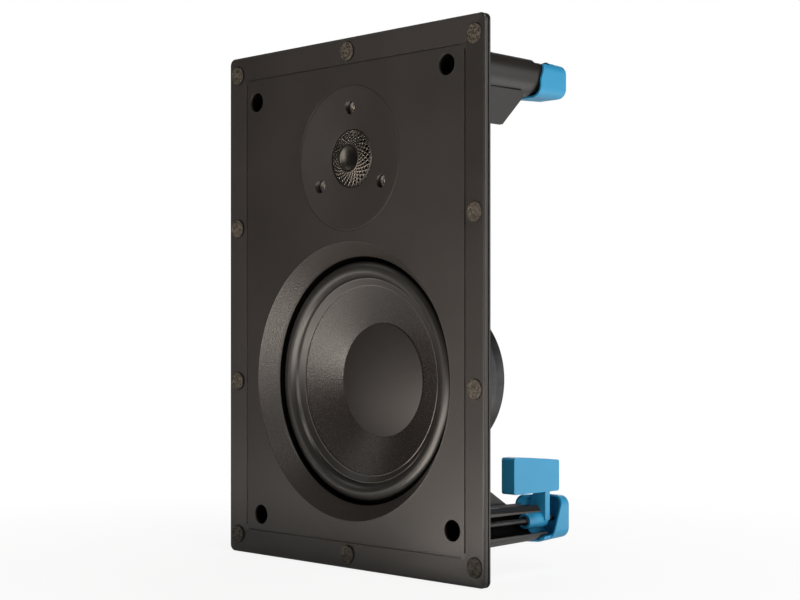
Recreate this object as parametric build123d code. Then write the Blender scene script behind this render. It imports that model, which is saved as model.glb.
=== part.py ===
# In-wall two-way speaker, in mm: +Z up, the front faces -Y, y = 0 is where the flange meets the wall
import os
from math import cos, pi, radians, sin, tan

from build123d import *

os.makedirs("parts", exist_ok=True)

# driving sizes
plate_w, plate_h, rim_depth = 218.0, 312.0, 4.6
corner_r, edge_r = 4.0, 1.4
lap_w, lap_h = 15.4, 14.9              # how far the flange laps over the wall at the sides, and at the ends
rim_slope, rib_h, rib_t = 1.2, 8.0, 2.0
magnet_r, magnet_t, magnet_proud = 5.6, 3.0, 0.9
access_r = 6.0                          # screwdriver holes in the front
woofer_z, tweeter_z = -46.0, 85.15
flare_r, flare_in_r, flare_in_y = 82.2, 73.4, 7.5
face_r, lens_r, lens_dish_r = 42.8, 17.3, 7.8
lens_rows, lens_count = 7, 36
coil_r = 19.0
motor_r, motor_back = 47.0, 83.5
tower_r, tower_end_r, tower_in_r, slot_w = 12.6, 11.5, 9.4, 12.3
tower_step, tower_end = 61.4, 69.0       # shoulder under the cap, and the end inside the cap
clamp_edge, clamp_side = 25.2, 29.5     # screw axis to the edge the jaw swings over, and to the other
screw_r, screw_end, web_y = 2.0, 83.0, 10.0
cap_end, cap_wall, cap_over, cap_fit, cap_gap = 88.6, 1.2, 0.5, 0.4, 1.8
cap_draft, cap_slant = 3.0, 22.0
jaw_near, jaw_far, jaw_y0, jaw_y1 = 16.5, 37.5, 42.4, 82.4
arm_y0, arm_y1, arm_x0, arm_x1 = 69.8, 73.8, -4.1, 5.5
board_w, board_h, board_y, board_t, board_z = 104.0, 56.0, 40.0, 1.6, 84.0

# what follows from them
front = -rim_depth
flush_x = clamp_edge - lap_w - 0.4      # side of a tower that is level with the opening in the wall
panel = front + rim_slope               # front of the recessed panel
half_w, half_h = plate_w / 2, plate_h / 2
cut_w, cut_h = plate_w - 2 * lap_w, plate_h - 2 * lap_h   # the opening in the wall, which the rear rib fits
clamps = {                              # quarter turns from the bottom right one
    "bottom_right": (half_w - clamp_edge, -(half_h - clamp_side), 0),
    "top_right": (half_w - clamp_side, half_h - clamp_edge, 1),
    "top_left": (-(half_w - clamp_edge), half_h - clamp_side, 2),
    "bottom_left": (-(half_w - clamp_side), -(half_h - clamp_edge), 3),
}
magnets = [(x * (half_w - 7.6), z) for x in (-1, 1)
           for z in (-(half_h - 11.1), -0.309 * half_h, 0.309 * half_h, half_h - 11.1)]
magnets += [(0, -(half_h - 8)), (0, half_h - 8)]
board_posts = [(x * (board_w / 2 - 6), board_z + z * (board_h / 2 - 4)) for x in (-1, 1) for z in (-1, 1)]


def block(x0, x1, y0, y1, z0, z1):
    return Pos((x0 + x1) / 2, (y0 + y1) / 2, (z0 + z1) / 2) * Box(x1 - x0, y1 - y0, z1 - z0)


def rod(r, y0, y1, x=0.0, z=0.0):
    return Pos(x, (y0 + y1) / 2, z) * Rot(90, 0, 0) * Cylinder(r, y1 - y0)


def ring(r, r_in, y0, y1, x=0.0, z=0.0):
    return rod(r, y0, y1, x, z) - rod(r_in, y0 - 1, y1 + 1, x, z)


def slab(w, h, y0, y1, r):
    return Pos(0, y1, 0) * extrude(Plane.XZ * RectangleRounded(w, h, r), y1 - y0)


def lathe(*steps, z=0.0, arc=360):
    """Turn a profile about Y: each step is (radius, y), or ((radius, y), (radius, y)) for an arc."""
    edges, here = [], steps[0]
    for step in steps[1:] + (steps[0],):
        if isinstance(step[0], tuple):
            edges.append(ThreePointArc(here, step[0], step[1]))
            here = step[1]
        elif step != here:
            edges.append(Line(here, step))
            here = step
    return Pos(0, 0, z) * revolve(make_face(edges), Axis.Y, arc)


def bulge(r, y0, y1):
    """Middle and rim of a spherical arc from the axis at y0 to radius r at y1."""
    h = y1 - y0
    ball = (r * r + h * h) / (2 * h)
    side = 1 if ball > 0 else -1
    return (r / 2, y0 + ball - side * (ball * ball - r * r / 4) ** 0.5), (r, y1)


def around(r, count, start=0.0):
    return [(r * cos(radians(start + i * 360 / count)), r * sin(radians(start + i * 360 / count)))
            for i in range(count)]


def at_clamp(name, shape):
    x, z, quarter = clamps[name]
    return Pos(x, 0, z) * Rot(0, -90 * quarter, 0) * shape


def save(name, *solids):
    found = [s for shape in solids for s in shape.solids()]
    shape = found[0] if len(found) == 1 else Compound(children=found)
    shape.label = name
    export_step(shape, f"parts/{name}.step")


def tower():
    """Slotted guide behind a clamp: jaw slots towards +X and +Z, closed the other two ways."""
    spigot_r = tower_end_r + cap_over - cap_wall - cap_fit
    body = lathe((0, 0), (tower_r, 0), (tower_end_r, tower_step), (spigot_r, tower_step),
                 (spigot_r, tower_end), (0, tower_end))
    body -= rod(tower_in_r, web_y + 3, tower_end + 1)
    body -= block(0, 20, web_y + 3, tower_end + 1, -slot_w / 2, slot_w / 2)
    body -= block(-slot_w / 2, slot_w / 2, web_y + 3, tower_end + 1, 0, 20)
    body -= block(flush_x, 20, -1, tower_end + 1, -20, 20)      # flush with the opening in the wall
    body -= block(0, 20, tower_step, tower_end + 1, 0, 20)      # the post between the slots is shorter
    # webs to the panel, clear of the jaw's slots
    side = Plane.XY * Polyline((-30.5, -0.5), (-30.5, 34), (-13.2, 52), (-9.6, 52), (-9.6, -0.5), close=True)
    for z in (-8.2, 5.8):
        body += Pos(0, 0, z) * extrude(make_face(side), 2.4)
    guard = Plane.YZ * Polyline((-0.5, 31.5), (15, 31.5), (52, 9.2), (52, 6.6), (-0.5, 6.6), close=True)
    body += Pos(-slot_w / 2 - 2.2, 0, 0) * extrude(make_face(guard), 2.2)
    return body - rod(access_r, -1, web_y) - rod(screw_r + 0.1, 0, 20)


def baffle():
    """Rim, recessed panel, woofer flare, tweeter seat, rear ribs, posts and the four towers."""
    body = slab(plate_w, plate_h, front, 0, corner_r)
    body = fillet(body.edges().filter_by_position(Axis.Y, front - 0.01, front + 0.01), edge_r)
    over = 0.4
    grow = over * (half_w - 1.6 - cut_w / 2 - 0.4) / rim_slope
    inner = Plane.XZ.offset(-panel) * Rectangle(cut_w + 0.8, cut_h + 0.8)
    outer = Plane.XZ.offset(-(front - over)) * Rectangle(plate_w - 3.2 + 2 * grow, plate_h - 3.2 + 2 * grow)
    body -= loft(Sketch() + [outer, inner])
    body -= slab(plate_w + 2, plate_h + 2, -2.1, -1.2, 1) - slab(plate_w - 1.6, plate_h - 1.6, -3,
                                                                 0, corner_r - 0.8)
    rib = slab(cut_w, cut_h, -0.5, rib_h, 3) - slab(cut_w - 2 * rib_t, cut_h - 2 * rib_t, -1, rib_h + 1, 1)
    body += rib
    for z in (-1, 1):                                           # fine line between rim and panel
        line = z * (cut_h / 2 - 0.4)
        body -= block(3 - cut_w / 2, cut_w / 2 - 3, panel - 1, panel + 0.7, line - 0.45, line + 0.45)
    for x in (-1, 1):
        line = x * (cut_w / 2 - 0.3)
        body -= block(line - 0.45, line + 0.45, panel - 1, panel + 0.7, 3 - cut_h / 2, cut_h / 2 - 3)
    # flare and woofer seat
    body += lathe((90, panel), (90, 0), (86.6, 0), (80, 8.2), (86, 8.2), (86, 11), (73.4, 11),
                  (73.4, 0), z=woofer_z)
    for x, z in around(81.2, 8):
        body += rod(3.4, 0, 11, x, woofer_z + z)
    body -= lathe((0, panel - 3), (flare_r, panel - 3), (flare_r, panel), (flare_in_r, flare_in_y),
                  (flare_in_r, 12), (0, 12), z=woofer_z)
    for x, z in around(81.2, 8):
        body -= rod(1.6, 4.8, 12, x, woofer_z + z)
    # tweeter seat
    body += rod(face_r + 3.2, panel, 7, 0, tweeter_z)
    for x, z in around(30, 3, 90):
        body += rod(3.6, 7, 13, x, tweeter_z + z)
    body -= rod(face_r + 0.2, front - 1, 4, 0, tweeter_z)
    body -= rod(26.4, 0, 14, 0, tweeter_z)
    for x, z in around(30, 3, 90):
        body -= rod(1.5, 3, 12, x, tweeter_z + z)
    # stiffening ribs behind the panel and posts for the board
    for side in (-1, 1):
        near = [side * r for r in (face_r + 2, 60, cut_w / 2 - 1)]
        body += block(near[1] - 1, near[1] + 1, -0.5, 6, 25, cut_h / 2 - 1)
        for z, inner in ((30, near[1]), (tweeter_z, near[0])):
            body += block(min(inner, near[2]), max(inner, near[2]), -0.5, 6, z - 1, z + 1)
    for x, z in board_posts:
        body += rod(3.4, -0.5, board_y, x, z) - rod(1.3, board_y - 7, board_y + 1, x, z)
    for name in clamps:
        body += at_clamp(name, tower())
    for name in clamps:
        body -= at_clamp(name, rod(access_r, front - 1, web_y))
    for x, z in magnets:
        body -= rod(magnet_r + 0.05, front - 1, front - magnet_proud + 0.5 + magnet_t, x, z)
    return body


def magnet(x, z):
    y0 = front + 0.5 - magnet_proud
    body = rod(magnet_r, y0, y0 + magnet_t, x, z)
    return chamfer(body.edges().filter_by_position(Axis.Y, y0 - 0.01, y0 + 0.01), 0.3)


def clamp_screw():
    head = rod(4.2, web_y - 3, web_y)
    head = fillet(head.edges().filter_by_position(Axis.Y, web_y - 3.01, web_y - 2.99), 0.9)
    body = head + rod(screw_r, web_y - 0.1, screw_end) - ring(3, 1.6, web_y + 2.9, web_y + 3.9)
    for turn in (0, 90):
        body -= Rot(0, turn, 0) * block(-2.3, 2.3, web_y - 4, web_y - 1.2, -0.5, 0.5)
    return body


def clamp_clip():
    """Flat retainer behind the web that sits in the groove of the screw."""
    body = ring(4.6, 1.7, web_y + 3, web_y + 3.8)
    return body - block(-1.7, 1.7, web_y + 2, web_y + 5, 0, 6)


def clamp_nut():
    return ring(3.0, screw_r + 0.06, 57.5, 69)


def clamp_dog():
    """Jaw, arm and hub, parked towards +Z."""
    jaw = block(arm_x0, arm_x1, jaw_y0, jaw_y1, jaw_near, jaw_far)
    tip = Pos(0, jaw_y0, jaw_far + 0.6) * Rot(-5, 0, 0) * block(-20, 20, -10, 60, 0, 12)
    jaw = fillet((jaw - tip).edges().filter_by(Axis.X), 1.6)
    crease = Plane.YZ * Polyline((19.6, jaw_near + 5), (19.9, jaw_far + 3), (21.5, jaw_far + 3), close=True)
    jaw -= Pos(arm_x1 - 0.6, jaw_y0, 0) * extrude(make_face(crease), 3)
    arm = block(arm_x0, arm_x1, arm_y0, arm_y1, 0, jaw_near + 0.5)
    body = jaw + arm + rod(4.4, 57.5, arm_y1)
    return body - rod(3.05, 57, 69) - rod(screw_r + 0.3, 68, 80)


def clamp_cap():
    """Tapered end cap over the end of the tower, with a slanted mouth on the side where the arm swings."""
    x0, x1 = -(tower_end_r + cap_over), flush_x + 0.8
    z0, z1 = -(tower_end_r + cap_over + 0.4), jaw_near - 1.8
    mouth = tower_step + cap_gap

    def shell(wall, y1):
        outline = Plane.XZ.offset(-mouth) * Pos((x0 + x1) / 2, (z0 + z1) / 2) * RectangleRounded(
            x1 - x0 - 2 * wall, z1 - z0 - 2 * wall, 7 - wall)
        return extrude(outline, -(y1 - mouth), taper=cap_draft)

    body = shell(0, cap_end)
    body = fillet(body.edges().filter_by_position(Axis.Y, cap_end - 0.01, cap_end + 0.01), 2.4)
    body -= shell(cap_wall, cap_end - 2.4)
    rising = Pos(-2, mouth, 0) * Rot(0, 0, cap_slant) * block(-10, 20, -20, 0, -25, 25)
    body -= rising & block(-2, 30, 0, 100, -25, 25)
    slant = Pos(0, arm_y1 + 0.5 + arm_x1 * tan(radians(cap_slant)), 0) * Rot(-cap_slant, 0, 0)
    body -= slant * block(x1 - 2.8, 20, -40, 0, -25, 25)
    return body - (slant * block(-slot_w / 2, 20, -50, 0, -25, 25) & block(-slot_w / 2, 20, 0, 100, 5.6, 30))


def woofer_parts():
    z = woofer_z
    basket = lathe((71.5, 13), (78.3, 13), (78.3, 11), (84, 11), (84, 15.2), (77.3, 15.2), (55.4, 40),
                   (50.5, 52.2), (47.5, 54), (24, 54), (24, 51.6), (46.4, 51.6), (48.3, 50.6),
                   (52.3, 40.6), (46.5, 40.6), (46.5, 38.4), (53.6, 38.4), (74.2, 15.2), (71.5, 15.2))
    for i in range(8):
        basket -= Rot(0, 45 * i + 10, 0) * lathe((50, 17.6), (90, 17.6), (90, 36.6), (50, 36.6), arc=25)
    for x, dz in around(81.2, 8):
        basket -= rod(1.75, 10, 16, x, dz)
    save("woofer_basket", Pos(0, 0, z) * basket)
    slope = (24.8 - 13.9) / (56.8 - 34.1)
    edge_y = 13.9 - (61.2 - 56.8) * slope
    save("woofer_surround", lathe((56.8, 13.9), (56.8, 13.2), (60.8, 11.25), ((66.75, 7.0), (72.7, 12.2)),
                                  (74.5, 12.2), (74.5, 11), (78, 11), (78, 13), (72, 13),
                                  ((66.75, 7.8), (61.2, edge_y)), z=z))
    neck_r = coil_r + 0.35
    save("woofer_cone", lathe((61.2, edge_y), (34.1, 24.8), (neck_r, 33.5), (neck_r, 34.5), (34.1, 25.75),
                              (61.2, edge_y + 0.95), z=z))
    save("woofer_dust_cap", lathe((0, 19.9), bulge(34.1, 19.9, 24.3), (34.1, 24.8),
                                  (bulge(34.1, 20.4, 24.8)[0], (0, 20.4)), z=z))
    save("woofer_coil_former", ring(neck_r, coil_r, 31.5, 63.8, 0, z))
    save("woofer_winding", ring(neck_r + 0.7, neck_r, 50.5, 63.5, 0, z))
    inner, outer, waves = neck_r, 47.0, 5
    crests = []
    for i in range(2 * waves + 1):
        crests.append((inner + 2 + (outer - inner - 3) * i / (2 * waves), 38.4 if i % 2 else 36.2))
    top = [(inner, 36.9)] + crests + [(outer, 37.8), (53.4, 37.8)]
    back = [(53.4, 38.4), (outer, 38.4)] + [(r, y + 0.55) for r, y in reversed(crests)] + [(inner, 37.5)]
    save("woofer_spider", lathe(*(top + back), z=z))
    save("woofer_top_plate", ring(44, coil_r + 1.7, 54, 60, 0, z))
    save("woofer_magnet", ring(motor_r, 26, 60, 74.5, 0, z))
    save("woofer_yoke", lathe((7, 54), (coil_r - 0.5, 54), (coil_r - 0.5, 74.5), (motor_r, 74.5),
                              (motor_r, motor_back - 1.5), (motor_r - 1.5, motor_back), (7,
                                                                                         motor_back), z=z))
    screws = []
    for x, dz in around(81.2, 8):
        head = rod(3.6, 15.2, 17.4, x, z + dz) - block(x - 2.2, x + 2.2, 16.2, 18, z + dz - 0.4,
                                                       z + dz + 0.4)
        screws.append(head + rod(1.6, 5.0, 15.3, x, z + dz))
    save("woofer_screws", *screws)
    turn = Pos(0, 0, z) * Rot(0, -67.5, 0)
    save("woofer_terminal_strip", turn * block(79.9, 83.7, 15.2, 17.2, -9, 9))
    return [turn * block(81.4, 82.2, 17.2, 24, s - 1.6, s + 1.6) for s in (-5, 5)]


def tweeter_parts():
    z = tweeter_z
    plate = lathe((face_r, panel), (face_r - 1.2, panel), (lens_r + 0.2, -0.6), (lens_r + 0.2, 0.3),
                  (15.6, 0.3), (15.6, 4), (face_r, 4))
    plate -= ring(40.4, 34.4, -0.6, 5)
    for x, dz in around(30, 3, 90):
        plate -= rod(4.0, front - 1, 2.6, x, dz)
        plate -= rod(1.7, 2, 5, x, dz)
    save("tweeter_faceplate", Pos(0, 0, z) * plate)
    lens = lathe((0, -2.2), bulge(7.1, -2.2, -3.2), (lens_dish_r, -3.3), (16.5, -0.75), (lens_r, -0.7),
                 (lens_r, 0.3), (16.1, 0.3), (16.1, -0.05), (8.1, -2.5), (7.1, -2.5),
                 (bulge(7.1, -1.5, -2.5)[0], (0, -1.5)))
    rows = lens_rows - 1
    step = (15.35 / 9.0) ** (1 / rows)
    holes = []
    for i in range(lens_rows):
        r = 9.0 * step ** i
        a, b = 0.78 * pi * r / lens_count, 0.78 * r * (step - 1)
        diamond = extrude(Plane.XZ.offset(1) * Polygon((b, 0), (0, a), (-b, 0), (0, -a), align=None), 4)
        for j in range(lens_count):
            turn = 360 / lens_count * (j + i / 2)
            holes.append(Rot(0, turn, 0) * Pos(r, 0, 0) * diamond)
    lens = lens - holes
    save("tweeter_lens", Pos(0, 0, z) * lens)
    save("tweeter_mount_ring", lathe((16.5, 4), (25.5, 4), (25.5, 6.5), (14.3, 6.5), (14.3, 5.6),
                                     (16.5, 5.6), z=z))
    save("tweeter_surround", lathe((12.9, 5.2), ((13.65, 4.4), (14.4, 5.2)), (16.4, 5.2), (16.4, 5.6),
                                   (14.2, 5.6), ((13.65, 4.8), (12.9, 5.6)), z=z))
    save("tweeter_dome", lathe((0, 0.6), bulge(12.9, 0.6, 5.2), (12.9, 5.6), (12.3, 5.6),
                               (bulge(12.3, 0.9, 5.6)[0], (0, 0.9)), z=z))
    save("tweeter_voice_coil", lathe((12.5, 5.6), (12.8, 5.6), (12.8, 8), (13.1, 8), (13.1, 11.5),
                                     (12.5, 11.5), z=z))
    save("tweeter_top_plate", ring(25.5, 13.5, 6.5, 9.5, 0, z))
    save("tweeter_magnet", ring(24.5, 16.5, 9.5, 16.5, 0, z))
    save("tweeter_yoke", lathe((0, 7), (12.1, 7), (12.1, 16.5), (22.5, 16.5), (22.5, 19.5), (0, 19.5), z=z))
    screws = []
    for x, dz in around(30, 3, 90):
        screw = rod(3.3, 0.8, 2.6, x, z + dz) + rod(1.5, 2.5, 11.5, x, z + dz)
        for turn in (45, 135):
            screw -= Pos(x, 0, z + dz) * Rot(0, turn, 0) * block(-1.9, 1.9, 0.5, 1.9, -0.4, 0.4)
        screws.append(screw)
    save("tweeter_screws", *screws)
    return [block(s - 1.6, s + 1.6, 9.5, 10.3, z - 31, z - 24.6) for s in (-5, 5)]


def crossover_parts():
    y0 = board_y + board_t
    board = block(-board_w / 2, board_w / 2, board_y, y0, board_z - board_h / 2, board_z + board_h / 2)
    for x, z in board_posts:
        board -= rod(1.5, board_y - 1, y0 + 1, x, z)
    save("crossover_board", board)
    screws = []
    for x, z in board_posts:
        head = rod(2.7, y0, y0 + 1.8, x, z) - block(x - 1.7, x + 1.7, y0 + 1, y0 + 3, z - 0.4, z + 0.4)
        screws.append(head + rod(1.3, board_y - 6.5, y0 + 0.1, x, z))
    save("crossover_screws", *screws)
    coils = [(-26, 74), (6, 96)]
    bobbins, windings = [], []
    for x, z in coils:
        bobbins.append(lathe((3, y0), (12.5, y0), (12.5, y0 + 1.2), (6, y0 + 1.2), (6, y0 + 14),
                             (12.5, y0 + 14),
                             (12.5, y0 + 15.2), (3, y0 + 15.2)).moved(Location((x, 0, z))))
        windings.append(ring(11.8, 6, y0 + 1.2, y0 + 14, x, z))
    save("inductor_bobbins", *bobbins)
    save("inductor_windings", *windings)
    caps = []
    for x, z in ((-30, 98), (4, 66)):
        cap = Pos(x, y0 + 6.5, z) * Rot(0, 90, 0) * Cylinder(6.5, 26)
        caps.append(fillet(cap.edges(), 0.8))
    save("capacitors", *caps)
    save("resistors", block(-10.5, 15.5, y0, y0 + 9, 73.5, 82.5))
    body = block(24, 50, y0, y0 + 17, 68, 94)
    for x in (30.5, 43.5):
        body -= block(x - 4.1, x + 4.1, y0 + 4, y0 + 18, 80.9, 90.1)
        body -= rod(1.8, y0 + 5, y0 + 18, x, 74.5)
    save("terminal_block", body)
    for name, x in (("red", 30.5), ("black", 43.5)):
        button = block(x - 4.0, x + 4.0, y0 + 8, y0 + 21.5, 81.0, 90.0)
        save(f"terminal_button_{name}", fillet(button.edges().filter_by_position(Axis.Y, y0 + 21.4,
                                                                                 y0 + 21.6), 1.2))


save("baffle", baffle())
for x, z in magnets:
    row = "top" if z > 100 else "upper" if z > 0 else "lower" if z > -100 else "bottom"
    side = "left" if x < 0 else "right" if x > 0 else "middle"
    save(f"rim_magnet_{row}_{side}", magnet(x, z))
save("driver_tabs", *woofer_parts(), *tweeter_parts())
crossover_parts()
save("clamp_clips", *[at_clamp(name, clamp_clip()) for name in clamps])
for name in clamps:
    save(f"clamp_screw_{name}", at_clamp(name, clamp_screw()))
    save(f"clamp_nut_{name}", at_clamp(name, clamp_nut()))
    save(f"clamp_dog_{name}", at_clamp(name, clamp_dog()))
    save(f"clamp_cap_{name}", at_clamp(name, clamp_cap()))
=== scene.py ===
import bpy
import bmesh
import math
from mathutils import Matrix, Vector


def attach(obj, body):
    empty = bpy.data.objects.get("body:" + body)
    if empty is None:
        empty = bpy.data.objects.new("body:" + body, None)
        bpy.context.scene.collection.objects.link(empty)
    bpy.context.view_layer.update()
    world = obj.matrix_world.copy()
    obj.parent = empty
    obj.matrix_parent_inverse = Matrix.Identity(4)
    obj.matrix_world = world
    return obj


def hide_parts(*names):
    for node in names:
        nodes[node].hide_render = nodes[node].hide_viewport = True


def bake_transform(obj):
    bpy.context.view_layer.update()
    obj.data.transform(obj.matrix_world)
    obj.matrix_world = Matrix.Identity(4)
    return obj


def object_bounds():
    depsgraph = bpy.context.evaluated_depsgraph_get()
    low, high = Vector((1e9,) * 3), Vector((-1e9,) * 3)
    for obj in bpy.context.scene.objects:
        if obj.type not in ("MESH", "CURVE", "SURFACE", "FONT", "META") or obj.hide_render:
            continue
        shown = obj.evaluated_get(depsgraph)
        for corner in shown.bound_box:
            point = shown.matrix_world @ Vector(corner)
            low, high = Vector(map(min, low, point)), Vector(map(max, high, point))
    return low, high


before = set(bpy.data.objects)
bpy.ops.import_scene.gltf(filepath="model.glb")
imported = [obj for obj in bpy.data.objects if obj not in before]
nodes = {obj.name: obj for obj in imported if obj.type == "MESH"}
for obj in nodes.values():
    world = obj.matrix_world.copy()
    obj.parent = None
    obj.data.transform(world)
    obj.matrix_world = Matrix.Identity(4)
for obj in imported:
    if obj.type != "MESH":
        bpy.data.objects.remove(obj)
cadLow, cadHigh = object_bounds()
scene = bpy.context.scene
print("frame in", len(nodes), "nodes")


def middleOf(name):
    # a node's middle seen from the front, as (across, up), to a hundredth of a millimetre
    corners = [nodes[name].matrix_world @ Vector(corner) for corner in nodes[name].bound_box]
    return tuple(round(sum(corner[axis] for corner in corners) / len(corners), 5) for axis in (0, 2))


# places that several pieces and finishes share
wooferSpot = middleOf("woofer_cone")
lensSpot = middleOf("tweeter_lens")
clampSpots = {corner: middleOf("clamp_screw_" + corner)
              for corner in ("bottom_right", "top_right", "top_left", "bottom_left")}


class Wire:
    # one socket of a node tree; sums on it add Math nodes
    def __init__(self, finish, socket):
        self.finish, self.socket = finish, socket

    def maths(self, operation, first, second=0.0):
        return self.finish.node("Math", {"operation": operation}, {0: first, 1: second})[0]

    def __add__(self, other):
        return self.maths("ADD", self, other)

    def __sub__(self, other):
        return self.maths("SUBTRACT", self, other)

    def __mul__(self, other):
        return self.maths("MULTIPLY", self, other)

    def __pow__(self, other):
        return self.maths("POWER", self, other)

    __radd__ = __add__

    def wave(self):
        return self.maths("SINE", self)

    def most(self, other):
        return self.maths("MAXIMUM", self, other)


class Finish:
    # a material with the few calls that its node tree needs
    def __init__(self, name):
        self.material = bpy.data.materials.new(name)
        self.material.use_nodes = True
        self.tree = self.material.node_tree
        self.tree.nodes.clear()

    def node(self, kind, settings=None, values=None):
        made = self.tree.nodes.new("ShaderNode" + kind)
        for key, value in (settings or {}).items():
            setattr(made, key, value)
        for key, value in (values or {}).items():
            socket = made.inputs[key]
            if isinstance(value, Wire):
                self.tree.links.new(value.socket, socket)
            elif isinstance(value, tuple) and len(value) == 3 and socket.type == "RGBA":
                socket.default_value = (*value, 1)
            else:
                socket.default_value = value
        return [Wire(self, out) for out in made.outputs]

    def place(self):
        return self.node("TexCoord")[3]                 # Object coordinates, in metres

    def axes(self):
        return self.node("SeparateXYZ", None, {0: self.place()})[:3]

    def reach(self, spot):
        # distance from the line that runs along Y through the spot
        x, y, z = self.axes()
        dx, dz = x - spot[0], z - spot[1]
        return (dx * dx + dz * dz) ** 0.5

    def noise(self, scale, detail, rough=0.5, stretch=None):
        spot = self.place()
        if stretch:
            spot = self.node("Mapping", None, {0: spot, 3: stretch})[0]
        return self.node("TexNoise", None, {"Vector": spot, "Scale": scale, "Detail": detail,
                                            "Roughness": rough})[0]

    def ramp(self, value, low, high):
        return self.node("MapRange", {"clamp": True}, {0: value, 1: low, 2: high, 3: 0.0, 4: 1.0})[0]

    def patches(self, scale, detail=3):
        # slow change from one tone to the other
        return self.ramp(self.noise(scale, detail), 0.35, 0.65)

    def mix(self, share, first, second):
        return self.node("Mix", {"data_type": "RGBA"}, {0: share, 6: first, 7: second})[2]

    def bump(self, height, strength, distance, edge=0.0):
        values = {"Strength": strength, "Distance": distance, "Height": height}
        if edge:                                        # moulded edges are never knife sharp
            values["Normal"] = self.node("Bevel", {"samples": 4}, {"Radius": edge})[0]
        return self.node("Bump", None, values)[0]

    def edges(self, radius):
        # 1 where the surface turns sharply, from the difference between the rounded and the plain normal
        soft = self.node("Bevel", {"samples": 6}, {"Radius": radius})[0]
        own = self.node("NewGeometry")[1]
        near = self.node("VectorMath", {"operation": "DOT_PRODUCT"}, {0: soft, 1: own})[1]
        return self.ramp(near, 0.999, 0.90)

    def surface(self, values):
        shader = self.node("BsdfPrincipled", None, values)[0]
        self.node("OutputMaterial", None, {0: shader})
        return self.material

    def shaded(self, values, shade, tone):
        # the finish, with a near-black matt as painted shade where the shade mask is 1
        skin = self.node("BsdfPrincipled", None, values)[0]
        matt = self.node("BsdfDiffuse", None, {"Color": tone})[0]
        both = self.node("MixShader", None, {0: shade, 1: skin, 2: matt})[0]
        self.node("OutputMaterial", None, {0: both})
        return self.material


# what a moulded finish has where its own settings say nothing else
mouldedUsual = {"patch": 14, "roughPatch": 0.04, "roughGrain": 0.15, "speckFrom": (0.58, 0.75),
                "specular": 0.5, "bump": 0.3, "depth": 0.00006, "edge": 0.0004}


def moulded(name, own):
    # moulded or coated plastic: two tones in slow patches and fine spark grain
    look = dict(mouldedUsual, **own)
    f = Finish(name)
    patches = f.patches(look["patch"])
    grain = f.noise(look["grain"], 2, 0.6)
    tone = f.mix(patches, look["dark"], look["light"])
    if "speckShare" in look:
        tone = f.mix(f.ramp(grain, *look["speckFrom"]) * look["speckShare"], tone, look["speck"])
    if "rim" in look:                                   # painted highlight: brighter blue along the edges, for light gathered in thin dyed plastic
        tone = f.mix(f.edges(look["rimWidth"]) * look["rimShare"], tone, look["rim"])
    rough = look["rough"] + (grain - 0.5) * look["roughGrain"] + (patches - 0.5) * look["roughPatch"]
    normal = f.bump(grain, look["bump"], look["depth"], look["edge"])
    if "pole" in look:                                  # face normals where a dome's facets meet in a point
        close = f.ramp(f.reach(look["pole"]), look["poleReach"], look["poleReach"] * 0.8)
        flat = f.node("NewGeometry")[3]
        normal = f.node("Mix", {"data_type": "VECTOR"}, {0: close, 4: normal, 5: flat})[1]
    return f.surface({"Base Color": tone, "Roughness": rough, "Specular IOR Level": look["specular"],
                      "Normal": normal})


def rollRubber():
    # smooth black rubber, with painted shade in the seam around it
    f = Finish("rollRubber")
    look = {"tone": (0.0105, 0.0097, 0.0090), "pale": (0.0135, 0.0125, 0.0116), "patch": 40, "grain": 900,
            "rough": 0.32, "roughGrain": 0.08, "bump": 0.10, "depth": 0.00006, "edge": 0.0004,
            "seamShade": (0.0700, 0.0712), "seamShadeTone": (0.0015, 0.0014, 0.0013)}
    grain = f.noise(look["grain"], 2)
    tone = f.mix(f.patches(look["patch"], 2), look["tone"], look["pale"])
    rough = look["rough"] + (grain - 0.5) * look["roughGrain"]
    normal = f.bump(grain, look["bump"], look["depth"], look["edge"])
    # painted shade: a near-black matt where the roll meets the flare
    return f.shaded({"Base Color": tone, "Roughness": rough, "Normal": normal},
                    f.ramp(f.reach(wooferSpot), *look["seamShade"]), look["seamShadeTone"])


def baffleShell(own):
    # moulded shell: coarse grain on the flare only, with painted shade in the woofer's seam, the bores and
    # the towers
    look = dict(mouldedUsual, **own)
    f = Finish("charcoalMoulding")
    y = f.axes()[1]
    away = f.reach(wooferSpot)
    flare = f.ramp(away, *look["flareFoot"]) * f.ramp(away, *look["flareTop"])
    patches = f.patches(look["patch"])
    grain = f.noise(look["grain"], 2, 0.6)
    tone = f.mix(patches, look["dark"], look["light"])
    tone = f.mix(f.ramp(grain, *look["speckFrom"]) * flare * look["speckShare"], tone, look["speck"])
    rough = look["rough"] + (grain - 0.5) * look["roughGrain"] + (patches - 0.5) * look["roughPatch"]
    height = grain * (flare * (1 - look["calm"]) + look["calm"])
    shade = f.ramp(away, *look["seamShade"])
    # painted shade: near black in the four bores and inside the towers, where no light reaches
    for spot in clampSpots.values():
        reach = f.reach(spot)
        shade = shade.most(f.ramp(reach, *look["boreShade"]) * f.ramp(y, *look["boreShadeDeep"]))
        inside = f.ramp(reach, *look["tower"]) * f.ramp(y, *look["towerDeep"])
        shade = shade.most(inside * look["towerShade"])
    return f.shaded({"Base Color": tone, "Roughness": rough,
                     "Normal": f.bump(height, look["bump"], look["depth"], look["edge"])},
                    shade, look["shadeTone"])


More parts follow.
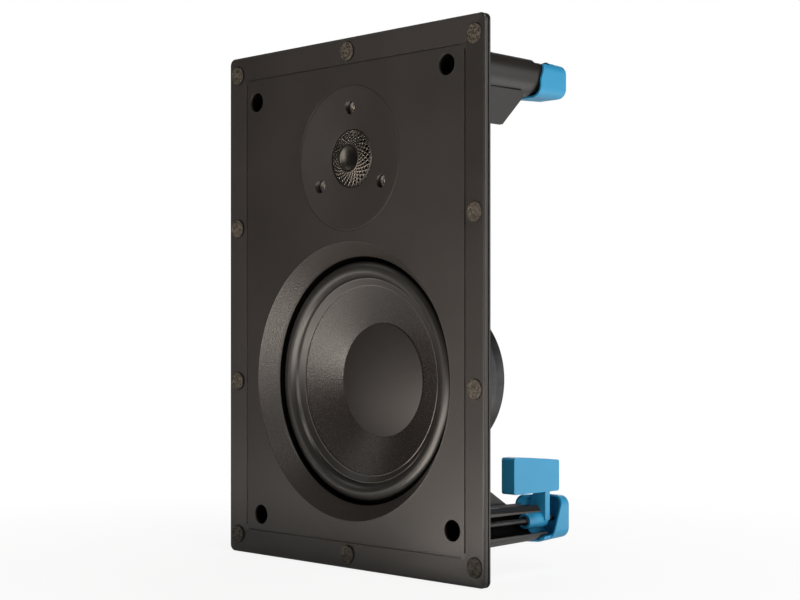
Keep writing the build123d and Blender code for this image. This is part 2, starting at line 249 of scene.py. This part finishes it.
# plastics; a pair of lengths is where a ramp starts and where it is full, in metres
shell = {"dark": (0.0150, 0.0128, 0.0113), "light": (0.0182, 0.0156, 0.0140), "grain": 1050, "rough": 0.37,
         "bump": 0.7, "depth": 0.00040}
finishes = {
    "charcoal": baffleShell(dict(shell, speck=(0.036, 0.031, 0.027), speckFrom=(0.55, 0.72), speckShare=0.5,
                                 # painted shade: a near-black tone, laid in the woofer's seam, the four
                                 # bores and inside the towers
                                 calm=0.20, shadeTone=(0.0015, 0.0014, 0.0013), seamShade=(0.0739, 0.0736),
                                 flareFoot=(0.0738, 0.0745), flareTop=(0.0828, 0.0818),
                                 boreShade=(0.0064, 0.0061), boreShadeDeep=(-0.0032, -0.0012),
                                 tower=(0.0099, 0.0096), towerDeep=(0.0105, 0.0125), towerShade=0.8)),
    "face": moulded("facePlate", dict(shell, dark=(0.0165, 0.0142, 0.0127), light=(0.0195, 0.0169, 0.0152),
                                      grain=1500, rough=0.36, depth=0.00010)),
    "cone": moulded("coneSheet", dict(shell, dark=(0.0130, 0.0112, 0.0100), light=(0.0160, 0.0139, 0.0125),
                                      grain=1250, rough=0.24, depth=0.00022, roughGrain=0.35,
                                      speckShare=0.8, speck=(0.034, 0.029, 0.025))),
    "cap": moulded("dustCapSheet", dict(shell, dark=(0.0125, 0.0106, 0.0094), light=(0.0150, 0.0128, 0.0114),
                                        grain=1400, rough=0.44, depth=0.00016, edge=0, specular=0.42,
                                        pole=wooferSpot, poleReach=0.0040)),
    "rubber": rollRubber(),
    "basket": moulded("basketCoat", dict(shell, dark=(0.020, 0.020, 0.020), light=(0.026, 0.025, 0.025),
                                         grain=1200, rough=0.42, bump=0.3)),
    # blue clamp plastic, with a painted highlight of the rim colour along its edges
    "blue": moulded("clampBlue", {"dark": (0.022, 0.245, 0.445), "light": (0.032, 0.275, 0.490),
                                  "grain": 2600, "rough": 0.42, "roughGrain": 0.08, "bump": 0.12,
                                  "depth": 0.00004, "rim": (0.004, 0.36, 0.72), "rimWidth": 0.0007,
                                  "rimShare": 0.75}),
}
print("plastics made", len(finishes))


# what a metal finish has where its own settings say nothing else
metalUsual = {"patch": 60, "stretch": (1, 1, 1), "wear": 0.0003, "wearShare": 0.5, "roughGrain": 0.3,
              "metallic": 1.0, "bump": 0.2, "depth": 0.00003}


def metal(name, own):
    # plated, ground or drawn metal: brushed streaks in the given stretch, stains, bright worn edges
    look = dict(metalUsual, **own)
    f = Finish(name)
    streak = f.noise(look["grain"], 2, 0.6, look["stretch"])
    stain = f.ramp(f.noise(look["patch"], 3), 0.40, 0.70)
    tone = f.mix(stain, look["dark"], look["light"])
    tone = f.mix(f.edges(look["wear"]) * look["wearShare"], tone, look["worn"])
    rough = look["rough"] + (streak - 0.5) * look["roughGrain"]
    return f.surface({"Base Color": tone, "Roughness": rough, "Metallic": look["metallic"],
                      "Normal": f.bump(streak, look["bump"], look["depth"])})


def catchDisc():
    # rough coated disc: brown face with coarse grit, with painted shade on its side
    f = Finish("catchDisc")
    look = {"face": (0.088, 0.076, 0.060), "dim": (0.009, 0.008, 0.007), "side": (0.002, 0.002, 0.002),
            "grit": 1250, "blot": 560, "rough": 0.60, "specular": 0.2, "bump": 0.8, "depth": 0.00030}
    grit = f.noise(look["grit"], 3, 0.65)
    blot = f.noise(look["blot"], 2)
    share = f.ramp(grit * 0.65 + blot * 0.35, 0.42, 0.60)
    facing = f.node("SeparateXYZ", None, {0: f.node("NewGeometry")[1]})[1] * -1.0
    # painted shade: black where the surface turns away from the front
    tone = f.mix(f.ramp(facing, 0.60, 0.85), look["side"], f.mix(share, look["dim"], look["face"]))
    return f.surface({"Base Color": tone, "Roughness": look["rough"] + (grit - 0.5) * 0.3,
                      "Specular IOR Level": look["specular"],
                      "Normal": f.bump(grit, look["bump"], look["depth"])})


def spiderCloth():
    # varnished woven cloth: two thread directions and varnish stains
    f = Finish("spiderCloth")
    look = {"thread": 0.0006, "dark": (0.30, 0.17, 0.055), "light": (0.46, 0.29, 0.11), "stain": 90,
            "rough": 0.7, "bump": 0.6, "depth": 0.00012}
    x, y, z = f.axes()
    turn = 2 * math.pi / look["thread"]
    weave = (x * turn).wave() * 0.5 + (z * turn).wave() * 0.5
    stain = f.ramp(f.noise(look["stain"], 3), 0.3, 0.7)
    tone = f.mix(f.ramp(weave, -0.6, 0.8) * 0.5 + stain * 0.5, look["dark"], look["light"])
    return f.surface({"Base Color": tone, "Roughness": look["rough"],
                      "Normal": f.bump(weave, look["bump"], look["depth"])})


def boardLaminate():
    # solder mask over copper: broad tracks show as paler green bands
    f = Finish("boardLaminate")
    look = {"mask": (0.010, 0.070, 0.032), "track": (0.022, 0.135, 0.058), "pitch": 0.013, "bend": 38,
            "rough": 0.34, "bump": 0.3, "depth": 0.00004}
    x, y, z = f.axes()
    turn = 2 * math.pi / look["pitch"]
    bend = f.noise(look["bend"], 1) * 5.0
    band = f.ramp((x * turn + bend).wave() + (z * turn * 0.6).wave() * 0.7, 0.05, 0.12)
    return f.surface({"Base Color": f.mix(band, look["mask"], look["track"]), "Roughness": look["rough"],
                      "Normal": f.bump(band, look["bump"], look["depth"])})


def sleeve():
    # shrunk film sleeve with faint creases
    f = Finish("filmSleeve")
    look = {"dark": (0.012, 0.016, 0.045), "light": (0.020, 0.027, 0.070), "crease": 160,
            "stretch": (0.3, 1, 1), "rough": 0.24, "coat": 0.3, "bump": 0.25, "depth": 0.0001}
    crease = f.noise(look["crease"], 3, 0.6, look["stretch"])
    tone = f.mix(f.ramp(crease, 0.4, 0.7), look["dark"], look["light"])
    return f.surface({"Base Color": tone, "Roughness": look["rough"] + (crease - 0.5) * 0.2,
                      "Coat Weight": look["coat"], "Normal": f.bump(crease, look["bump"], look["depth"])})


def plain(name, dark, light, grain, rough, **more):
    return moulded(name, dict({"dark": dark, "light": light, "grain": grain, "rough": rough}, **more))


finishes.update({
    "disc": catchDisc(),
    "cloth": spiderCloth(),
    "board": boardLaminate(),
    "sleeve": sleeve(),
    "steel": metal("platedBlack", {"dark": (0.045, 0.045, 0.047), "light": (0.070, 0.069, 0.068),
                                   "worn": (0.30, 0.29, 0.28), "grain": 1800, "rough": 0.38,
                                   "wearShare": 0.35}),
    "motor": metal("motorPlate", {"dark": (0.050, 0.050, 0.052), "light": (0.085, 0.084, 0.082),
                                  "worn": (0.25, 0.25, 0.25), "grain": 700, "rough": 0.45,
                                  "stretch": (1, 0.15, 1)}),
    "nut": metal("platedBright", {"dark": (0.46, 0.46, 0.47), "light": (0.60, 0.60, 0.60),
                                  "worn": (0.80, 0.80, 0.80), "grain": 1500, "rough": 0.30}),
    "ferrite": metal("groundFerrite", {"dark": (0.030, 0.030, 0.032), "light": (0.055, 0.055, 0.058),
                                       "worn": (0.12, 0.12, 0.125), "grain": 900, "rough": 0.50,
                                       "metallic": 0.2, "stretch": (1, 0.1, 1)}),
    "lens": metal("lensSheet", {"dark": (0.11, 0.10, 0.088), "light": (0.19, 0.172, 0.152),
                                "worn": (1.0, 0.90, 0.77), "grain": 1600, "rough": 0.22,
                                "wear": 0.0002, "wearShare": 0.9, "roughGrain": 0.1}),
    # painted shade: the dome behind the lens holes is kept near black
    "dome": metal("domeFoilInPaintedShade", {"dark": (0.006, 0.006, 0.006), "light": (0.009, 0.009, 0.009),
                               "worn": (0.10, 0.10, 0.10), "grain": 900, "rough": 0.45, "roughGrain": 0.1}),
    "screwHead": metal("screwHead", {"dark": (0.38, 0.36, 0.34), "light": (0.55, 0.52, 0.49),
                                     "worn": (0.85, 0.82, 0.78), "grain": 1500, "rough": 0.28,
                                     "wear": 0.0004, "wearShare": 0.9}),
    "foil": metal("formerFoil", {"dark": (0.62, 0.62, 0.62), "light": (0.74, 0.74, 0.74),
                                 "worn": (0.85, 0.85, 0.85), "grain": 800, "rough": 0.30}),
    "copper": metal("enamelledWire", {"dark": (0.50, 0.17, 0.06), "light": (0.68, 0.27, 0.11),
                                      "worn": (0.85, 0.42, 0.20), "grain": 900, "rough": 0.28}),
    "brass": metal("tabBrass", {"dark": (0.62, 0.45, 0.17), "light": (0.76, 0.58, 0.25),
                                "worn": (0.92, 0.78, 0.45), "grain": 1400, "rough": 0.32}),
    "cement": plain("resistorCement", (0.60, 0.60, 0.56), (0.72, 0.71, 0.67), 900, 0.75, bump=0.6),
    # painted shade: near black for the mount ring and surround seen through the lens holes
    "lensShadeBlack": plain("paintedShadeBlack", (0.0030, 0.0030, 0.0030), (0.0042, 0.0040, 0.0040), 1500, 0.75),
    # lighter tone: partly the glue's own, partly a painted highlight along the lips
    "lip": plain("glueLipPaintedHighlight", (0.050, 0.046, 0.042), (0.075, 0.069, 0.063), 700, 0.14, bump=0.1, edge=0),
    "satin": plain("satinBlack", (0.022, 0.022, 0.022), (0.030, 0.030, 0.030), 2200, 0.45),
    "red": plain("buttonRed", (0.45, 0.012, 0.012), (0.56, 0.020, 0.018), 1800, 0.30, bump=0.1),
    "black": plain("buttonBlack", (0.015, 0.015, 0.015), (0.022, 0.022, 0.022), 1800, 0.30, bump=0.1),
})
print("finishes made", len(finishes))

# which finish each node takes, by the start of its name; the first match counts
finishOf = [
    ("baffle", "charcoal"), ("rim_magnet", "disc"), ("woofer_basket", "basket"),
    ("woofer_surround", "rubber"), ("woofer_cone", "cone"), ("woofer_dust_cap", "cap"),
    ("woofer_coil_former", "foil"), ("woofer_winding", "copper"), ("woofer_spider", "cloth"),
    ("woofer_top_plate", "motor"), ("woofer_yoke", "motor"), ("woofer_magnet", "ferrite"),
    ("woofer_screws", "steel"), ("woofer_terminal_strip", "satin"),
    ("tweeter_faceplate", "face"), ("tweeter_lens", "lens"),
    ("tweeter_mount_ring", "lensShadeBlack"), ("tweeter_surround", "lensShadeBlack"), ("tweeter_dome", "dome"),
    ("tweeter_voice_coil", "copper"), ("tweeter_top_plate", "motor"), ("tweeter_yoke", "motor"),
    ("tweeter_magnet", "ferrite"), ("tweeter_screws", "screwHead"), ("driver_tabs", "brass"),
    ("crossover_board", "board"), ("crossover_screws", "nut"), ("inductor_bobbins", "satin"),
    ("inductor_windings", "copper"), ("capacitors", "sleeve"), ("resistors", "cement"),
    ("terminal_block", "satin"), ("terminal_button_red", "red"), ("terminal_button_black", "black"),
    ("clamp_clips", "nut"), ("clamp_nut", "nut"), ("clamp_screw", "steel"), ("clamp_", "blue"),
]


def dress(thing, finish):
    thing.data.materials.clear()
    thing.data.materials.append(finishes[finish])


for name, node in nodes.items():
    dress(node, next(finish for start, finish in finishOf if name.startswith(start)))
print("nodes dressed")


weld = 0.00001      # points nearer than this become one


def startMesh(name, kind, **settings):
    # one primitive in edit mode, with nothing else selected
    bpy.ops.object.select_all(action="DESELECT")
    getattr(bpy.ops.mesh, "primitive_" + kind + "_add")(enter_editmode=True, **settings)
    bpy.context.object.name = name
    return bpy.context.object


def pick(thing, kind, test):
    # select the edges or verts whose ends all pass the test
    bpy.ops.mesh.select_all(action="DESELECT")
    bpy.ops.mesh.select_mode(type=kind)
    mesh = bmesh.from_edit_mesh(thing.data)
    for part in {"VERT": mesh.verts, "EDGE": mesh.edges}[kind]:
        ends = [part.co] if kind == "VERT" else [v.co for v in part.verts]
        part.select_set(all(test(thing.matrix_world @ end) for end in ends))
    mesh.select_flush_mode()
    bmesh.update_edit_mesh(thing.data)


def leaveMesh(thing, smooth=35):
    # normals outward, object unturned at the origin, edges under the angle smooth
    bpy.ops.mesh.select_all(action="SELECT")
    bpy.ops.mesh.normals_make_consistent(inside=False)
    bpy.ops.object.mode_set(mode="OBJECT")
    bpy.ops.object.transform_apply(location=True, rotation=True, scale=True)
    bpy.ops.object.shade_smooth_by_angle(angle=math.radians(smooth))


def apply(thing, kind, **settings):
    made = thing.modifiers.new(kind.lower(), kind)
    for key, value in settings.items():
        setattr(made, key, value)
    bpy.ops.object.modifier_apply(modifier=made.name)


def grow(centre, was, now):
    # extrude the picked loop from one (radius, y) to the next
    bpy.ops.mesh.extrude_region()
    share = now[0] / was[0]
    bpy.ops.transform.resize(value=(share, 1, share), center_override=centre)
    bpy.ops.transform.translate(value=(0, now[1] - was[1], 0))


def tube(name, spot, radius, low, high, count):
    # round bar along Y through the spot
    return startMesh(name, "cylinder", vertices=count, radius=radius, depth=high - low,
                     location=(spot[0], (low + high) / 2, spot[1]), rotation=(math.pi / 2, 0, 0))


def spun(name, spot, ring, thick, around):
    # ring of round wire about the Y axis through the spot, with its radius and its y
    radius, y = ring
    thing = startMesh(name, "circle", vertices=8, radius=thick, location=(spot[0] + radius, y, spot[1]))
    bpy.ops.mesh.select_all(action="SELECT")
    bpy.ops.mesh.spin(steps=around, angle=2 * math.pi, center=(spot[0], y, spot[1]), axis=(0, 1, 0))
    bpy.ops.mesh.select_all(action="SELECT")
    bpy.ops.mesh.remove_doubles(threshold=weld)
    leaveMesh(thing)
    return thing


def unite(name, pieces):
    bpy.ops.object.select_all(action="DESELECT")
    for piece in pieces:
        piece.select_set(True)
    bpy.context.view_layer.objects.active = pieces[0]
    bpy.ops.object.join()
    whole = bpy.context.object
    whole.name = whole.data.name = name
    return whole


# tweeter lens: rows of diamond holes between a dished middle and a flat rim
lensLook = {"count": 28, "rows": 6, "inner": 0.0082, "outer": 0.0164, "crest": -0.0033, "foot": -0.00078,
            "web": 0.00030, "sheet": 0.0005, "ringNear": 0.00005, "endNear": 0.00003,
            "dish": ((0.0074, -0.00322), (0.0060, -0.00288), (0.0042, -0.00252), (0.0020, -0.00228)),
            "rim": ((0.0166, -0.00075), (0.0173, -0.00070), (0.0173, 0.0002))}


def tweeterLens(look):
    cx, cz = lensSpot
    centre = (cx, 0, cz)
    share = (look["outer"] / look["inner"]) ** (1 / look["rows"])
    thing = startMesh("perforatedLens", "circle", vertices=look["count"], radius=look["inner"],
                      location=(cx, look["crest"], cz), rotation=(math.pi / 2, 0, 0))

    def away(spot):
        return math.hypot(spot.x - cx, spot.z - cz)

    def depth(radius):
        part = (radius - look["inner"]) / (look["outer"] - look["inner"])
        return look["crest"] + part * (look["foot"] - look["crest"])

    radii = [look["inner"] * share ** row for row in range(look["rows"] + 1)]
    for was, now in zip(radii, radii[1:]):
        grow(centre, (was, depth(was)), (now, depth(now)))
        bpy.ops.transform.rotate(value=math.pi / look["count"], orient_axis="Y", center_override=centre)
    bpy.ops.mesh.select_all(action="SELECT")
    bpy.ops.mesh.quads_convert_to_tris(quad_method="SHORTEST_DIAGONAL")
    for radius in radii[1:-1]:                          # ring edges go, two triangles become a diamond
        pick(thing, "EDGE", lambda spot: abs(away(spot) - radius) < look["ringNear"])
        bpy.ops.mesh.dissolve_edges(use_verts=False)
    bpy.ops.mesh.select_mode(type="FACE")
    bpy.ops.mesh.select_all(action="SELECT")
    bpy.ops.mesh.inset(thickness=look["web"], use_individual=True)
    bpy.ops.mesh.delete(type="FACE")
    for start, steps in ((radii[0], look["dish"]), (radii[-1], look["rim"])):
        pick(thing, "EDGE", lambda spot: abs(away(spot) - start) < look["endNear"])
        was = (start, depth(start))
        for step in steps:
            grow(centre, was, step)
            was = step
        if start == radii[0]:
            bpy.ops.mesh.merge(type="CENTER")
    leaveMesh(thing)
    apply(thing, "SOLIDIFY", thickness=look["sheet"], offset=-1)
    dress(thing, "lens")
    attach(thing, "frame")
    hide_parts("tweeter_lens")


tweeterLens(lensLook)
print("lens made")


# woofer's roll: its foot stays on the basket while its inner skirt follows the cone; it is made in sectors
# spun about the woofer's axis
rollLook = {"middle": (wooferSpot[0], 0, wooferSpot[1]), "parts": 24, "steps": 12, "arc": 14,
            "still": 0.0715, "moving": 0.0613, "level": 0.012,
            "front": ((0.0608, 0.01125), (0.06675, 0.0070), (0.0727, 0.0122)),
            "foot": ((0.0745, 0.0122), (0.0745, 0.0110), (0.0780, 0.0110), (0.0780, 0.0130)),
            "back": ((0.0720, 0.0130), (0.06675, 0.0078), (0.0612, 0.011787)),
            "skirt": ((0.0568, 0.0139), (0.0568, 0.0132))}


def arcThrough(first, second, third, count):
    # points on the arc through three points
    (ax, ay), (bx, by), (cx, cy) = first, second, third
    a, b, c = ax * ax + ay * ay, bx * bx + by * by, cx * cx + cy * cy
    twice = 2 * (ax * (by - cy) + bx * (cy - ay) + cx * (ay - by))
    mx = (a * (by - cy) + b * (cy - ay) + c * (ay - by)) / twice
    my = (a * (cx - bx) + b * (ax - cx) + c * (bx - ax)) / twice
    start, end = math.atan2(ay - my, ax - mx), math.atan2(cy - my, cx - mx)
    reach = math.hypot(ax - mx, ay - my)
    turns = [start + (end - start) * i / count for i in range(count + 1)]
    return [(mx + reach * math.cos(turn), my + reach * math.sin(turn)) for turn in turns]


def surroundRoll(look):
    mx, my, mz = look["middle"]
    step = 2 * math.pi / look["parts"]
    outline = [*look["skirt"], *arcThrough(*look["front"], look["arc"]), *look["foot"],
               *arcThrough(*look["back"], look["arc"])]
    part = startMesh("surroundPart", "circle", vertices=len(outline))
    mesh = bmesh.from_edit_mesh(part.data)
    mesh.verts.ensure_lookup_table()
    for vert, (radius, y) in zip(mesh.verts, outline):
        vert.co = (mx + radius * math.cos(step / 2), y, mz - radius * math.sin(step / 2))
    bmesh.update_edit_mesh(part.data)
    bpy.ops.mesh.select_all(action="SELECT")
    bpy.ops.mesh.spin(steps=look["steps"], angle=step, center=look["middle"], axis=(0, 1, 0))
    leaveMesh(part)
    dress(part, "rubber")
    parts = [part]
    for i in range(1, look["parts"]):
        copied = part.copy()
        copied.data = part.data.copy()
        copied.data.transform(Matrix.Translation(look["middle"]) @ Matrix.Rotation(step * i, 4, "Y")
                              @ Matrix.Translation((-mx, -my, -mz)))
        scene.collection.objects.link(copied)
        parts.append(copied)
    for i, piece in enumerate(parts):
        piece.name = piece.data.name = "surroundPart_%02d" % i
        across, up = math.cos(-step * i), math.sin(-step * i)
        mx + look["still"] * across
        mz + look["still"] * up
        mx + look["moving"] * across
        mz + look["moving"] * up
        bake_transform(piece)
        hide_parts("woofer_surround")


surroundRoll(rollLook)
print("roll made")


# two fine lips where the roll is glued to the cone, each as (radius, y)
lipLook = {"lips": ((0.0607, 0.01130), (0.0568, 0.01330)), "thick": 0.00034, "around": 128}


def coneLips(look):
    rings = [spun("coneLip", wooferSpot, ring, look["thick"], look["around"]) for ring in look["lips"]]
    lips = unite("coneLips", rings)
    dress(lips, "lip")
    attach(lips, "woofer_moving")


coneLips(lipLook)
print("lips made")


# clamp screws: the cross-head screw with the turns of its thread
screwLook = {"head": 0.0042, "from": 0.007, "seat": 0.010, "core": 0.00165, "crest": 0.0020, "pitch": 0.0016,
             "start": 0.0145, "turns": 41, "end": 0.083, "cross": 0.0010, "across": 0.0046, "deep": 0.0018,
             "proud": 0.0005, "lap": 0.0001, "skin": 0.00003, "rounding": 0.0008, "chamfer": 0.0002,
             "burr": 0.0001, "tip": 0.0004, "seed": 0.0005, "steps": 20, "around": 24, "headAround": 40}


def threadedScrew(name, spot, look):
    cx, cz = spot
    head = tube("head", spot, look["head"], look["from"], look["seat"] + look["lap"], look["headAround"])
    pick(head, "EDGE", lambda at: abs(at.y - look["from"]) < weld)
    bpy.ops.mesh.bevel(offset=look["rounding"], segments=3)
    leaveMesh(head)
    for turn in (0, math.pi / 2):
        slot = startMesh("cross", "cube", size=1, rotation=(0, turn, 0),
                         location=(cx, look["from"] + look["deep"] / 2 - look["proud"], cz),
                         scale=(look["across"], look["deep"] + look["proud"] * 2, look["cross"]))
        bpy.ops.mesh.select_all(action="SELECT")
        bpy.ops.mesh.bevel(offset=look["burr"], segments=1)
        leaveMesh(slot)
        bpy.context.view_layer.objects.active = head
        apply(head, "BOOLEAN", object=slot, operation="DIFFERENCE")
        bpy.data.objects.remove(slot)
    neck = tube("neck", spot, look["crest"], look["seat"] - look["lap"] * 2, look["start"] + look["lap"] * 4,
                look["around"])
    pick(neck, "EDGE", lambda at: at.y > look["start"])
    bpy.ops.mesh.bevel(offset=look["chamfer"], segments=1)
    leaveMesh(neck)
    core = tube("core", spot, look["core"] + look["skin"], look["seat"], look["end"], look["around"])
    pick(core, "EDGE", lambda at: at.y > look["end"] - look["lap"])
    bpy.ops.mesh.bevel(offset=look["tip"], segments=2)
    leaveMesh(core)
    # three points of a small circle stay, for the two flanks of the thread
    ridge = startMesh("ridge", "circle", vertices=4, radius=look["seed"],
                      location=(cx + look["core"], look["start"], cz))
    pick(ridge, "VERT", lambda at: at.x < cx + look["core"] - look["seed"] / 2)
    bpy.ops.mesh.delete(type="VERT")
    mesh = bmesh.from_edit_mesh(ridge.data)
    profile = sorted(mesh.verts, key=lambda v: (ridge.matrix_world @ v.co).y)
    for vert, (radius, along) in zip(profile, ((look["core"], 0), (look["crest"], 0.5), (look["core"], 1))):
        corner = Vector((cx + radius, look["start"] + along * look["pitch"], cz))
        vert.co = ridge.matrix_world.inverted() @ corner
    bmesh.update_edit_mesh(ridge.data)
    bpy.ops.mesh.select_all(action="SELECT")
    bpy.ops.mesh.screw(steps=look["steps"], turns=look["turns"], axis=(0, 1, 0),
                       center=(cx, look["start"], cz))
    bpy.ops.mesh.select_all(action="SELECT")
    bpy.ops.mesh.remove_doubles(threshold=weld)
    leaveMesh(ridge, 25)
    screw = unite("threadedScrew_" + name, [head, neck, core, ridge])
    dress(screw, "steel")
    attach(screw, "screw_" + name)
    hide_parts("clamp_screw_" + name)


for name, spot in clampSpots.items():
    threadedScrew(name, spot, screwLook)
print("screws threaded")


# inductors: turns of enamelled wire side by side on the bobbins
coilLook = {"spots": ((-0.026, 0.074), (0.006, 0.096)), "low": 0.0428, "high": 0.0556, "reach": 0.0113,
            "wire": 0.00053, "inner": 0.0060, "around": 48, "sink": 0.2, "lap": 0.0001}


def windings(look):
    pieces = []
    count = round((look["high"] - look["low"]) / (2 * look["wire"]))
    pitch = (look["high"] - look["low"]) / count
    for spot in look["spots"]:
        core = tube("coilCore", spot, look["reach"] - look["wire"] * look["sink"], look["low"] - look["lap"],
                    look["high"] + look["lap"], look["around"])
        bpy.ops.mesh.select_mode(type="FACE")
        bpy.ops.mesh.select_face_by_sides(number=4, type="GREATER", extend=False)   # the two ends
        bpy.ops.mesh.inset(thickness=look["reach"] - look["inner"])
        bpy.ops.mesh.delete(type="FACE")
        hole = look["inner"] + look["wire"]
        pick(core, "EDGE", lambda at: math.hypot(at.x - spot[0], at.z - spot[1]) < hole)
        bpy.ops.mesh.bridge_edge_loops()
        leaveMesh(core)
        pieces.append(core)
        first = spun("turn", spot, (look["reach"], look["low"] + pitch / 2), look["wire"], look["around"])
        pieces.append(first)
        for row in range(1, count):
            turn = first.copy()
            turn.data = first.data.copy()
            scene.collection.objects.link(turn)
            bpy.ops.object.select_all(action="DESELECT")
            turn.select_set(True)
            bpy.context.view_layer.objects.active = turn
            turn.location.y += pitch * row
            bpy.ops.object.transform_apply(location=True)
            pieces.append(turn)
    coils = unite("woundCoils", pieces)
    dress(coils, "copper")
    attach(coils, "frame")
    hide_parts("inductor_windings")


windings(coilLook)
print("coils wound")


# leads of the capacitors and the resistor, bent down into solder on the board
# a row of parts is the left end, the right end, y and z
leadLook = {"board": 0.0416, "wire": 0.0004, "out": 0.0015, "bend": 0.0012, "inside": 0.0006, "pad": 0.0011,
            "padHigh": 0.0009, "padLift": 0.00035, "padFoot": 0.0001, "padEdge": 0.00015,
            "parts": ((-0.043, -0.017, 0.0481, 0.098), (-0.009, 0.017, 0.0481, 0.066),
                      (-0.0105, 0.0155, 0.0461, 0.078))}


def lead(spot, side, look):
    px, py, pz = spot
    wire = startMesh("lead", "circle", vertices=10, radius=look["wire"], rotation=(0, math.pi / 2, 0),
                     location=(px - side * look["inside"], py, pz))
    bpy.ops.mesh.select_all(action="SELECT")
    bpy.ops.mesh.extrude_region()
    bpy.ops.transform.translate(value=(side * (look["out"] + look["inside"]), 0, 0))
    bpy.ops.mesh.spin(steps=6, angle=side * math.pi / 2, axis=(0, 0, -1),
                      center=(px + side * look["out"], py - look["bend"], pz))
    bpy.ops.mesh.extrude_region()
    bpy.ops.transform.translate(value=(0, look["board"] - (py - look["bend"]), 0))
    leaveMesh(wire)
    return wire


def solder(spot, side, look):
    px, py, pz = spot
    pad = startMesh("pad", "cone", vertices=20, radius1=look["pad"], radius2=look["wire"],
                    depth=look["padHigh"], rotation=(-math.pi / 2, 0, 0),
                    location=(px + side * (look["out"] + look["bend"]), look["board"] + look["padLift"], pz))
    pick(pad, "EDGE", lambda at: at.y < look["board"] + look["padFoot"])
    bpy.ops.mesh.bevel(offset=look["padEdge"], segments=2)
    leaveMesh(pad)
    return pad


def leads(look):
    pieces = []
    for left, right, y, z in look["parts"]:
        for x, side in ((left, -1), (right, 1)):
            pieces += [lead((x, y, z), side, look), solder((x, y, z), side, look)]
    whole = unite("componentLeads", pieces)
    dress(whole, "nut")
    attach(whole, "frame")


leads(leadLook)
print("leads bent")


def lamp(name, look):
    data = bpy.data.lights.new(name, "AREA")
    data.shape = "RECTANGLE"
    data.size, data.size_y = look["size"]
    data.energy = look["watts"]
    data.color = look["tint"]
    thing = bpy.data.objects.new(name, data)
    thing.location = look["at"]
    aim = Vector(look["to"]) - Vector(look["at"])
    thing.rotation_euler = aim.to_track_quat("-Z", "Y").to_euler()
    thing.visible_camera = False
    scene.collection.objects.link(thing)


def tableLamp(spot, size, watts, tint=(1, 0.905, 0.81)):
    # light that the white table throws back up, from half a millimetre over the part's lowest point
    level = round(cadLow.z, 4) + 0.0005
    return {"at": (*spot, level), "to": (*spot, 1), "size": size, "watts": watts, "tint": tint}


studio = {
    "frontLeft": {"at": (-0.60, -1.15, 0), "to": (0, 0, 0), "size": (0.3, 0.6), "watts": 1.0,
                  "tint": (1, 0.96, 0.92)},
    "leftUp": {"at": (-0.90, -0.75, 0.90), "to": (0, 0, 0), "size": (0.6, 0.6), "watts": 1.2,
               "tint": (1, 0.97, 0.93)},
    "right": {"at": (1.35, -0.25, 0.15), "to": (0, 0.03, 0), "size": (0.5, 0.8), "watts": 7.2,
              "tint": (1, 0.97, 0.95)},
    "rightBack": {"at": (1.10, 0.75, 0.25), "to": (0, 0.05, 0), "size": (0.6, 0.8), "watts": 3.6,
                  "tint": (1, 1, 1)},
    "topRight": {"at": (0.90, -0.20, 1.15), "to": (0, 0, 0), "size": (0.8, 0.6), "watts": 8.8,
                 "tint": (1, 0.97, 0.94)},
    "tableLeft": tableLamp((-0.175, -0.305), (0.35, 0.29), 0.8),
    "tableRight": tableLamp((0.175, -0.305), (0.35, 0.29), 2.1),
    "tableBack": tableLamp((0.525, 0.31), (0.75, 0.58), 1.8, (1, 0.97, 0.94)),
    "tableMiddle": tableLamp((-0.045, -0.37), (0.12, 0.12), 0.85),
    "tableNear": tableLamp((0.03, -0.11), (0.09, 0.09), 0.20),
    "tableFar": tableLamp((0.175, -0.825), (0.45, 0.75), 4.5, (1, 0.92, 0.84)),
    "behind": {"at": (-0.90, 1.10, 0.70), "to": (0, 0.04, 0), "size": (0.8, 0.8), "watts": 9.0,
               "tint": (1, 1, 1)},
}
for name, look in studio.items():
    lamp(name, look)

# floor that shows white to the camera, with the shadow kept
ground = {"size": 6.0, "drop": 0.0006, "glow": 0.88, "near": 0.12, "far": 0.45, "tone": (0.88, 0.88, 0.88)}
bpy.ops.object.select_all(action="DESELECT")
bpy.ops.mesh.primitive_plane_add(size=ground["size"], location=(0, 0, cadLow.z - ground["drop"]))
floor = bpy.context.object
floor.name = "studioFloor"
f = Finish("studioFloor")
rays = f.node("LightPath")
seen = rays[0].most(rays[6])                            # camera and transmission rays
x, y, z = f.axes()
far = f.ramp((x * x + y * y) ** 0.5, ground["near"], ground["far"])     # no horizon line far off
glow = seen * (far * (1 - ground["glow"]) + ground["glow"])
matt = f.node("BsdfDiffuse", None, {"Color": ground["tone"]})[0]
white = f.node("Emission", None, {"Color": (1.0, 1.0, 1.0), "Strength": 1.0})[0]
both = f.node("MixShader", None, {0: glow, 1: matt, 2: white})[0]
f.node("OutputMaterial", None, {0: both})
floor.data.materials.append(f.material)

# plain air around it: faint light, white to the camera
world = bpy.data.worlds.new("studio")
scene.world = world
world.use_nodes = True
air = {"light": 0.04, "seen": 1.0}
tree = world.node_tree
tree.nodes.clear()
path = tree.nodes.new("ShaderNodeLightPath")
mixed = tree.nodes.new("ShaderNodeMixShader")
outlet = tree.nodes.new("ShaderNodeOutputWorld")
for slot, strength in ((1, air["light"]), (2, air["seen"])):
    sky = tree.nodes.new("ShaderNodeBackground")
    sky.inputs["Color"].default_value = (1, 1, 1, 1)
    sky.inputs["Strength"].default_value = strength
    tree.links.new(sky.outputs[0], mixed.inputs[slot])
tree.links.new(path.outputs["Is Camera Ray"], mixed.inputs[0])
tree.links.new(mixed.outputs[0], outlet.inputs[0])

view = {"at": (0.67733, -0.63627, -0.01675), "turn": 45.097, "lens": 70.885, "shift": (0.00125, 0.0392)}
data = bpy.data.cameras.new("camera")
camera = bpy.data.objects.new("camera", data)
camera.location = view["at"]
camera.rotation_euler = (math.radians(90), 0, math.radians(view["turn"]))
data.lens = view["lens"]
data.shift_x, data.shift_y = view["shift"]
scene.collection.objects.link(camera)
scene.camera = camera
scene.view_settings.view_transform = "Standard"
print("studio set")
